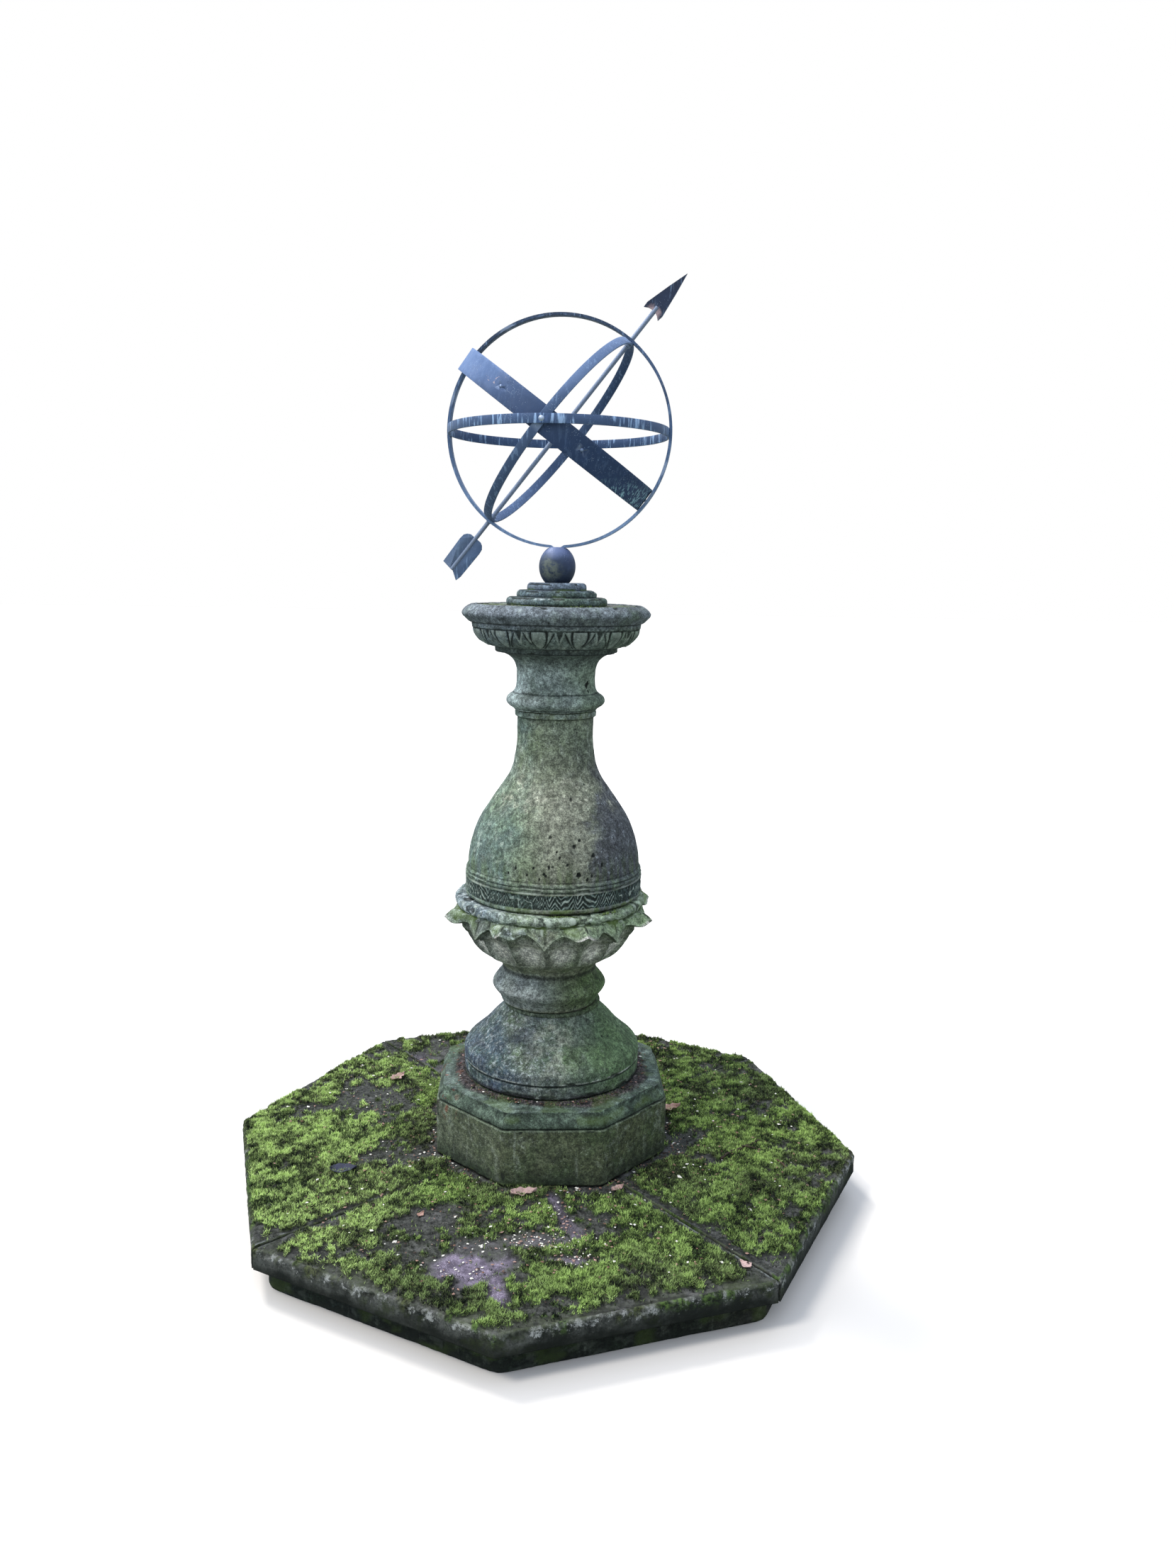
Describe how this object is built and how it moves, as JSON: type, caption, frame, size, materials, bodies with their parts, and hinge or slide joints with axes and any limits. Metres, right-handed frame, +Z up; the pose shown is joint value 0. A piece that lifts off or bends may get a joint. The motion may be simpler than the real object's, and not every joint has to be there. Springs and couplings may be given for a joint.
{
  "type": "armillary sphere sundial",
  "caption": "Garden armillary sundial: riveted steel rings with an arrow gnomon, turning on a ball above a cast-stone baluster, plinth and octagonal paving.",
  "frame": {"origin": "on the column's axis at ground level, on the underside of the foundation course", "axes": "+Z up; +X and +Y square to the plinth's flats; the arrow points up towards +X, 9.6 degrees round towards -Y"},
  "size_m": [1.5365, 1.5365, 2.1585],
  "materials": {
    "foundation_stone": "damp rough concrete, nearly black with algae and moss",
    "paving_stone": "riven paving under moss mats and soil",
    "mortar": "weathered lime mortar, dark and mossy",
    "plinth_stone": "reconstituted stone, olive grey-green, darker at the foot",
    "bell_stone": "reconstituted stone, blue-grey to green algae, white speckle",
    "calyx_stone": "reconstituted stone with pale green lichen",
    "shaft_stone": "reconstituted stone, beige-olive with dark stains and pits",
    "capital_stone": "reconstituted stone, grey-green",
    "cap_stone": "reconstituted stone, blue-grey to grey-green, battered edges",
    "dowel_steel": "stainless bar",
    "bronze": "dull turned bronze",
    "ball_paint": "dark blue-black paint, weathered",
    "ring_paint": "blue-grey paint, worn and streaked pale",
    "rivet_steel": "bright worn rivet heads",
    "arrow_paint": "dark navy paint, weathered"
  },
  "bodies": {
    "pedestal": {"baluster_shaft": "shaft_stone", "base_bell": "bell_stone", "bell_mortar_bed": "mortar", "calyx_mortar_bed": "mortar", "calyx_section": "calyx_stone", "cap_mortar_bed": "mortar", "capital": "capital_stone", "capital_mortar_bed": "mortar", "column_dowels": "dowel_steel", "foundation_course": "foundation_stone", "paving_mortar_bed": "mortar", "paving_slab_front": "paving_stone", "paving_slab_left": "paving_stone", "paving_slab_rear": "paving_stone", "paving_slab_right": "paving_stone", "pivot_sleeve": "bronze", "plinth_block": "plinth_stone", "plinth_mortar_bed": "mortar", "shaft_mortar_bed": "mortar", "stepped_cap": "cap_stone"},
    "sphere": {"band_rivets": "rivet_steel", "colure_ring": "ring_paint", "crossing_rivets": "rivet_steel", "equatorial_band": "ring_paint", "horizon_ring": "ring_paint", "meridian_ring": "ring_paint", "meridian_rivets": "ring_paint", "mounting_ball": "ball_paint", "pivot_stud": "dowel_steel", "pole_bushes": "bronze", "ring_screw": "dowel_steel", "stud_circlip": "dowel_steel"},
    "gnomon": {"arrow_flights": "arrow_paint", "arrow_head": "arrow_paint", "gnomon_rod": "arrow_paint", "rod_collars": "arrow_paint"}
  },
  "joints": [
    {"name": "sphere_azimuth", "type": "hinge", "parent": "pedestal", "child": "sphere", "pos_m": [0, 0, 1.485], "axis": [0, 0, 1], "continuous": true},
    {"name": "gnomon_spin", "type": "hinge", "parent": "sphere", "child": "gnomon", "pos_m": [0, 0, 1.8215], "axis": [0.6205, -0.105, 0.7771], "continuous": true}
  ]
}
